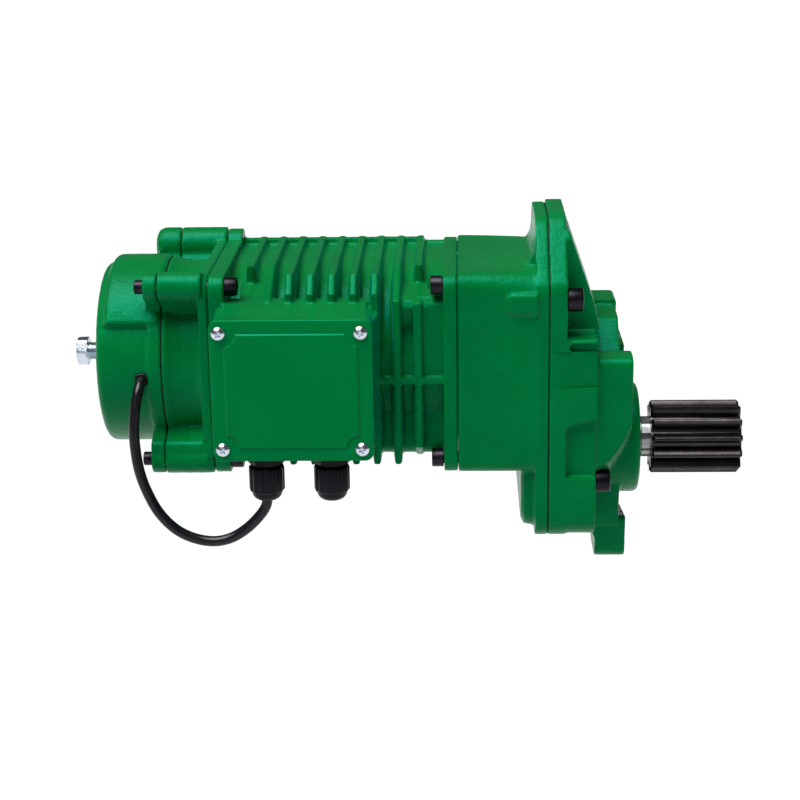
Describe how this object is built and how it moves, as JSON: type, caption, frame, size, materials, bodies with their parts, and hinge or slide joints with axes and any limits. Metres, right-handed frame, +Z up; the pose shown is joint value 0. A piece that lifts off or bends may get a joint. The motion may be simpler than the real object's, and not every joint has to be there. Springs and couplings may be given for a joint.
{
  "type": "gearmotor",
  "caption": "Crane travel gearmotor: end brake with release bolt, finned motor with terminal box, gearbox with mounting lugs and a toothed output pinion.",
  "frame": {"origin": "on the output shaft axis, in the plane of the three mounting lugs' faces", "axes": "+X along the output shaft towards its pinion, +Z up from the output axis to the motor axis, -Y towards the terminal box"},
  "size_m": [0.4541, 0.1782, 0.2445],
  "materials": {
    "green_paint": "glossy green enamel over a sand-cast surface",
    "black_screw": "blackened steel, satin",
    "zinc": "bright zinc plating",
    "machined_steel": "ground and turned steel, lightly oiled",
    "oxide_steel": "dark oxide, hobbed and milled, satin",
    "laminations": "stacked electrical steel",
    "cast_aluminium": "die cast",
    "magnet_iron": "black painted iron",
    "winding_wire": "varnished copper wire",
    "friction_lining": "moulded friction lining",
    "terminal_plastic": "brown moulded board",
    "gland_plastic": "black nylon, satin",
    "cable_sheath": "black sheath, slightly glossy",
    "seal_rubber": "black nitrile"
  },
  "bodies": {
    "housing": {"brake_cover": "green_paint", "rear_endshield": "green_paint", "motor_housing": "green_paint", "gear_case": "green_paint", "gear_cover": "green_paint", "terminal_cover": "green_paint", "terminal_board": "terminal_plastic", "stator_core": "laminations", "winding_rear": "winding_wire", "winding_front": "winding_wire", "bearing_rear": "machined_steel", "bearing_front": "machined_steel", "bearing_1_case": "machined_steel", "bearing_1_cover": "machined_steel", "bearing_2_cover": "machined_steel", "bearing_output_case": "machined_steel", "bearing_output_cover": "machined_steel", "brake_magnet": "magnet_iron", "brake_coil": "winding_wire", "brake_spring": "machined_steel", "release_washer": "zinc", "brake_screw_1": "black_screw", "brake_screw_2": "black_screw", "brake_screw_3": "black_screw", "brake_screw_4": "black_screw", "rear_screw_1": "black_screw", "rear_screw_2": "black_screw", "rear_screw_3": "black_screw", "rear_screw_4": "black_screw", "front_screw_1": "black_screw", "front_screw_2": "black_screw", "front_screw_3": "black_screw", "front_screw_4": "black_screw", "case_screw_1": "black_screw", "case_screw_2": "black_screw", "case_screw_3": "black_screw", "case_screw_4": "black_screw", "oil_seal": "seal_rubber", "gland_cable": "gland_plastic", "gland_spare": "gland_plastic", "brake_cable": "cable_sheath", "cable_grommet": "seal_rubber", "terminal_screw_1": "zinc", "terminal_screw_2": "zinc", "terminal_screw_3": "zinc", "terminal_screw_4": "zinc"},
    "rotor": {"rotor_core": "cast_aluminium", "rotor_shaft": "machined_steel", "brake_hub": "machined_steel", "brake_disc": "friction_lining"},
    "intermediate_1": {"intermediate_1_shaft": "machined_steel", "intermediate_1_gear": "machined_steel"},
    "intermediate_2": {"intermediate_2_shaft": "machined_steel", "intermediate_2_gear": "machined_steel"},
    "output": {"output_shaft": "machined_steel", "output_gear": "machined_steel", "output_pinion": "oxide_steel", "pinion_retainer": "oxide_steel"},
    "armature": {"brake_armature": "machined_steel"},
    "release": {"release_bolt": "zinc"}
  },
  "joints": [
    {"name": "output_spin", "type": "hinge", "parent": "housing", "child": "output", "pos_m": [-0.05, 0, 0], "axis": [1, 0, 0], "continuous": true},
    {"name": "intermediate_2_spin", "type": "hinge", "parent": "housing", "child": "intermediate_2", "pos_m": [-0.05, 0, 0.06375], "axis": [1, 0, 0], "continuous": true},
    {"name": "intermediate_1_spin", "type": "hinge", "parent": "housing", "child": "intermediate_1", "pos_m": [-0.05, 0, 0.10575], "axis": [1, 0, 0], "continuous": true},
    {"name": "rotor_spin", "type": "hinge", "parent": "housing", "child": "rotor", "pos_m": [-0.05, 0, 0.06375], "axis": [1, 0, 0], "continuous": true},
    {"name": "release_turn", "type": "hinge", "parent": "housing", "child": "release", "pos_m": [-0.35, 0, 0.06375], "axis": [1, 0, 0], "range_deg": [0, 100]},
    {"name": "armature_slide", "type": "slide", "parent": "housing", "child": "armature", "axis": [-1, 0, 0], "range_m": [0, 0.00048611]}
  ],
  "couplings": [
    {"joint": "intermediate_2_spin", "follows": "output_spin", "ratio": -2.1875},
    {"joint": "intermediate_1_spin", "follows": "output_spin", "ratio": 4.8798},
    {"joint": "rotor_spin", "follows": "output_spin", "ratio": -17.893},
    {"joint": "release_turn", "follows": "armature_slide", "rad_per_m": 3590.4}
  ]
}
